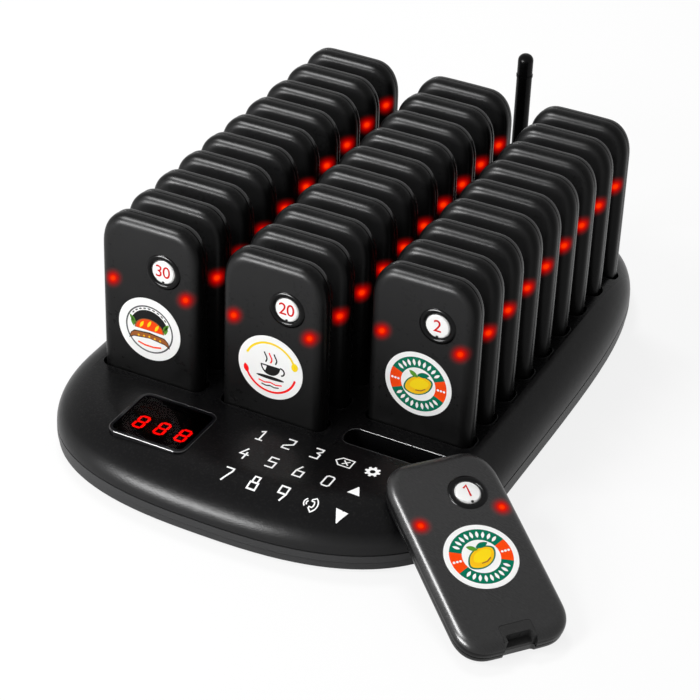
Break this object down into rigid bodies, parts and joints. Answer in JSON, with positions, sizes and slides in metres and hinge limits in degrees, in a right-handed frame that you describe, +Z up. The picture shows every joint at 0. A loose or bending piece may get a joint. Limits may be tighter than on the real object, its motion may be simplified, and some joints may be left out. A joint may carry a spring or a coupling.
{
  "type": "guest_pager_system",
  "caption": "Guest paging set for a restaurant or shop counter: black charging base with touch keypad, red display and antenna, and round-cornered pagers standing in its slots",
  "frame": {"origin": "on the surface that the base stands on, under the middle of the base's plan", "axes": "X to the right as seen from the keypad side, Y from the keypad to the rear ports, Z up"},
  "size_m": [0.2864, 0.3462, 0.1147],
  "materials": {
    "base_plastic": "satin black moulded plastic with a fine grain",
    "circuit_board": "green solder mask on glass-fibre laminate",
    "contact_gold": "plated contacts",
    "display_block": "black display block with red light bars",
    "window_glass": "polished smoked window",
    "bezel_plastic": "polished black moulded plastic",
    "shield_metal": "tinned sheet steel",
    "port_plastic": "satin black moulded plastic",
    "rocker_plastic": "polished black moulded plastic",
    "jack_brass": "gold-plated turned brass",
    "antenna_rubber": "smooth black moulded sleeve",
    "foot_rubber": "soft black rubber",
    "screw_steel": "zinc-plated steel",
    "pager_plastic": "dark grey satin moulded plastic with a fine grain",
    "pager_back_plastic": "dark grey satin moulded plastic",
    "button_plastic": "white moulded plastic with a red number",
    "battery_foil": "silver foil pouch",
    "contact_plastic": "matt black moulded plastic"
  },
  "bodies": {
    "base": {"lower_tray": "base_plastic", "top_cover": "base_plastic", "port_housing": "base_plastic", "slot_module_1": "base_plastic", "slot_modules": "base_plastic", "charging_boards": "circuit_board", "charging_contacts": "contact_gold", "control_board": "circuit_board", "display_module": "display_block", "display_window": "window_glass", "display_bezel": "bezel_plastic", "rear_board": "circuit_board", "dc_inlet": "port_plastic", "power_switch_case": "port_plastic", "antenna_connector": "jack_brass", "rubber_feet": "foot_rubber", "tray_screws": "screw_steel"},
    "power_rocker": {"power_rocker": "rocker_plastic"},
    "antenna_knuckle": {"antenna_knuckle": "antenna_rubber"},
    "antenna_rod": {"antenna_rod": "antenna_rubber"},
    "pager_01": {"pager_01_front_shell": "pager_plastic", "pager_01_rear_shell": "pager_back_plastic", "pager_01_circuit_board": "circuit_board", "pager_01_battery": "battery_foil", "pager_01_motor": "shield_metal", "pager_01_contact_block": "contact_plastic", "pager_01_screws": "screw_steel"},
    "pager_01_button": {"pager_01_button": "button_plastic"},
    "pager_02": {"pager_02": "pager_plastic"},
    "pager_02_button": {"pager_02_button": "button_plastic"},
    "pager_03": {"pager_03": "pager_plastic"},
    "pager_04": {"pager_04": "pager_plastic"},
    "pager_05": {"pager_05": "pager_plastic"},
    "pager_06": {"pager_06": "pager_plastic"},
    "pager_07": {"pager_07": "pager_plastic"},
    "pager_08": {"pager_08": "pager_plastic"},
    "pager_09": {"pager_09": "pager_plastic"},
    "pager_10": {"pager_10": "pager_plastic"},
    "pager_11": {"pager_11": "pager_plastic"},
    "pager_12": {"pager_12": "pager_plastic"},
    "pager_13": {"pager_13": "pager_plastic"},
    "pager_14": {"pager_14": "pager_plastic"},
    "pager_15": {"pager_15": "pager_plastic"},
    "pager_16": {"pager_16": "pager_plastic"},
    "pager_17": {"pager_17": "pager_plastic"},
    "pager_18": {"pager_18": "pager_plastic"},
    "pager_19": {"pager_19": "pager_plastic"},
    "pager_20": {"pager_20": "pager_plastic"},
    "pager_20_button": {"pager_20_button": "button_plastic"},
    "pager_21": {"pager_21": "pager_plastic"},
    "pager_22": {"pager_22": "pager_plastic"},
    "pager_23": {"pager_23": "pager_plastic"},
    "pager_24": {"pager_24": "pager_plastic"},
    "pager_25": {"pager_25": "pager_plastic"},
    "pager_26": {"pager_26": "pager_plastic"},
    "pager_27": {"pager_27": "pager_plastic"},
    "pager_28": {"pager_28": "pager_plastic"},
    "pager_29": {"pager_29": "pager_plastic"},
    "pager_30": {"pager_30": "pager_plastic"},
    "pager_30_button": {"pager_30_button": "button_plastic"}
  },
  "joints": [
    {"name": "power_rocker_tilt", "type": "hinge", "parent": "base", "child": "power_rocker", "pos_m": [-0.012, 0.1435, 0.018], "axis": [0, 0, -1], "range_deg": [0, 16]},
    {"name": "antenna_swivel", "type": "hinge", "parent": "base", "child": "antenna_knuckle", "pos_m": [0.014, 0.152, 0.018], "axis": [0, 1, 0], "range_deg": [-60, 60]},
    {"name": "antenna_fold", "type": "hinge", "parent": "antenna_knuckle", "child": "antenna_rod", "pos_m": [0.014, 0.1587, 0.018], "axis": [-1, 0, 0], "range_deg": [0, 90]},
    {"name": "pager_01_lift", "type": "slide", "parent": "base", "child": "pager_01", "axis": [0, 0, 1], "range_m": [0, 0.12]},
    {"name": "pager_01_button_press", "type": "slide", "parent": "pager_01", "child": "pager_01_button", "axis": [-0.2356, 0.197, -0.9517], "range_m": [0, 0.0005], "stiffness_N_per_m": 400, "springref_m": -0.0002},
    {"name": "pager_02_lift", "type": "slide", "parent": "base", "child": "pager_02", "axis": [0, 0, 1], "range_m": [0, 0.12]},
    {"name": "pager_02_button_press", "type": "slide", "parent": "pager_02", "child": "pager_02_button", "axis": [0, 1, 0], "range_m": [0, 0.0005], "stiffness_N_per_m": 400, "springref_m": -0.0002},
    {"name": "pager_03_lift", "type": "slide", "parent": "base", "child": "pager_03", "axis": [0, 0, 1], "range_m": [0, 0.12]},
    {"name": "pager_04_lift", "type": "slide", "parent": "base", "child": "pager_04", "axis": [0, 0, 1], "range_m": [0, 0.12]},
    {"name": "pager_05_lift", "type": "slide", "parent": "base", "child": "pager_05", "axis": [0, 0, 1], "range_m": [0, 0.12]},
    {"name": "pager_06_lift", "type": "slide", "parent": "base", "child": "pager_06", "axis": [0, 0, 1], "range_m": [0, 0.12]},
    {"name": "pager_07_lift", "type": "slide", "parent": "base", "child": "pager_07", "axis": [0, 0, 1], "range_m": [0, 0.12]},
    {"name": "pager_08_lift", "type": "slide", "parent": "base", "child": "pager_08", "axis": [0, 0, 1], "range_m": [0, 0.12]},
    {"name": "pager_09_lift", "type": "slide", "parent": "base", "child": "pager_09", "axis": [0, 0, 1], "range_m": [0, 0.12]},
    {"name": "pager_10_lift", "type": "slide", "parent": "base", "child": "pager_10", "axis": [0, 0, 1], "range_m": [0, 0.12]},
    {"name": "pager_11_lift", "type": "slide", "parent": "base", "child": "pager_11", "axis": [0, 0, 1], "range_m": [0, 0.12]},
    {"name": "pager_12_lift", "type": "slide", "parent": "base", "child": "pager_12", "axis": [0, 0, 1], "range_m": [0, 0.12]},
    {"name": "pager_13_lift", "type": "slide", "parent": "base", "child": "pager_13", "axis": [0, 0, 1], "range_m": [0, 0.12]},
    {"name": "pager_14_lift", "type": "slide", "parent": "base", "child": "pager_14", "axis": [0, 0, 1], "range_m": [0, 0.12]},
    {"name": "pager_15_lift", "type": "slide", "parent": "base", "child": "pager_15", "axis": [0, 0, 1], "range_m": [0, 0.12]},
    {"name": "pager_16_lift", "type": "slide", "parent": "base", "child": "pager_16", "axis": [0, 0, 1], "range_m": [0, 0.12]},
    {"name": "pager_17_lift", "type": "slide", "parent": "base", "child": "pager_17", "axis": [0, 0, 1], "range_m": [0, 0.12]},
    {"name": "pager_18_lift", "type": "slide", "parent": "base", "child": "pager_18", "axis": [0, 0, 1], "range_m": [0, 0.12]},
    {"name": "pager_19_lift", "type": "slide", "parent": "base", "child": "pager_19", "axis": [0, 0, 1], "range_m": [0, 0.12]},
    {"name": "pager_20_lift", "type": "slide", "parent": "base", "child": "pager_20", "axis": [0, 0, 1], "range_m": [0, 0.12]},
    {"name": "pager_20_button_press", "type": "slide", "parent": "pager_20", "child": "pager_20_button", "axis": [0, 1, 0], "range_m": [0, 0.0005], "stiffness_N_per_m": 400, "springref_m": -0.0002},
    {"name": "pager_21_lift", "type": "slide", "parent": "base", "child": "pager_21", "axis": [0, 0, 1], "range_m": [0, 0.12]},
    {"name": "pager_22_lift", "type": "slide", "parent": "base", "child": "pager_22", "axis": [0, 0, 1], "range_m": [0, 0.12]},
    {"name": "pager_23_lift", "type": "slide", "parent": "base", "child": "pager_23", "axis": [0, 0, 1], "range_m": [0, 0.12]},
    {"name": "pager_24_lift", "type": "slide", "parent": "base", "child": "pager_24", "axis": [0, 0, 1], "range_m": [0, 0.12]},
    {"name": "pager_25_lift", "type": "slide", "parent": "base", "child": "pager_25", "axis": [0, 0, 1], "range_m": [0, 0.12]},
    {"name": "pager_26_lift", "type": "slide", "parent": "base", "child": "pager_26", "axis": [0, 0, 1], "range_m": [0, 0.12]},
    {"name": "pager_27_lift", "type": "slide", "parent": "base", "child": "pager_27", "axis": [0, 0, 1], "range_m": [0, 0.12]},
    {"name": "pager_28_lift", "type": "slide", "parent": "base", "child": "pager_28", "axis": [0, 0, 1], "range_m": [0, 0.12]},
    {"name": "pager_29_lift", "type": "slide", "parent": "base", "child": "pager_29", "axis": [0, 0, 1], "range_m": [0, 0.12]},
    {"name": "pager_30_lift", "type": "slide", "parent": "base", "child": "pager_30", "axis": [0, 0, 1], "range_m": [0, 0.12]},
    {"name": "pager_30_button_press", "type": "slide", "parent": "pager_30", "child": "pager_30_button", "axis": [0, 1, 0], "range_m": [0, 0.0005], "stiffness_N_per_m": 400, "springref_m": -0.0002}
  ]
}
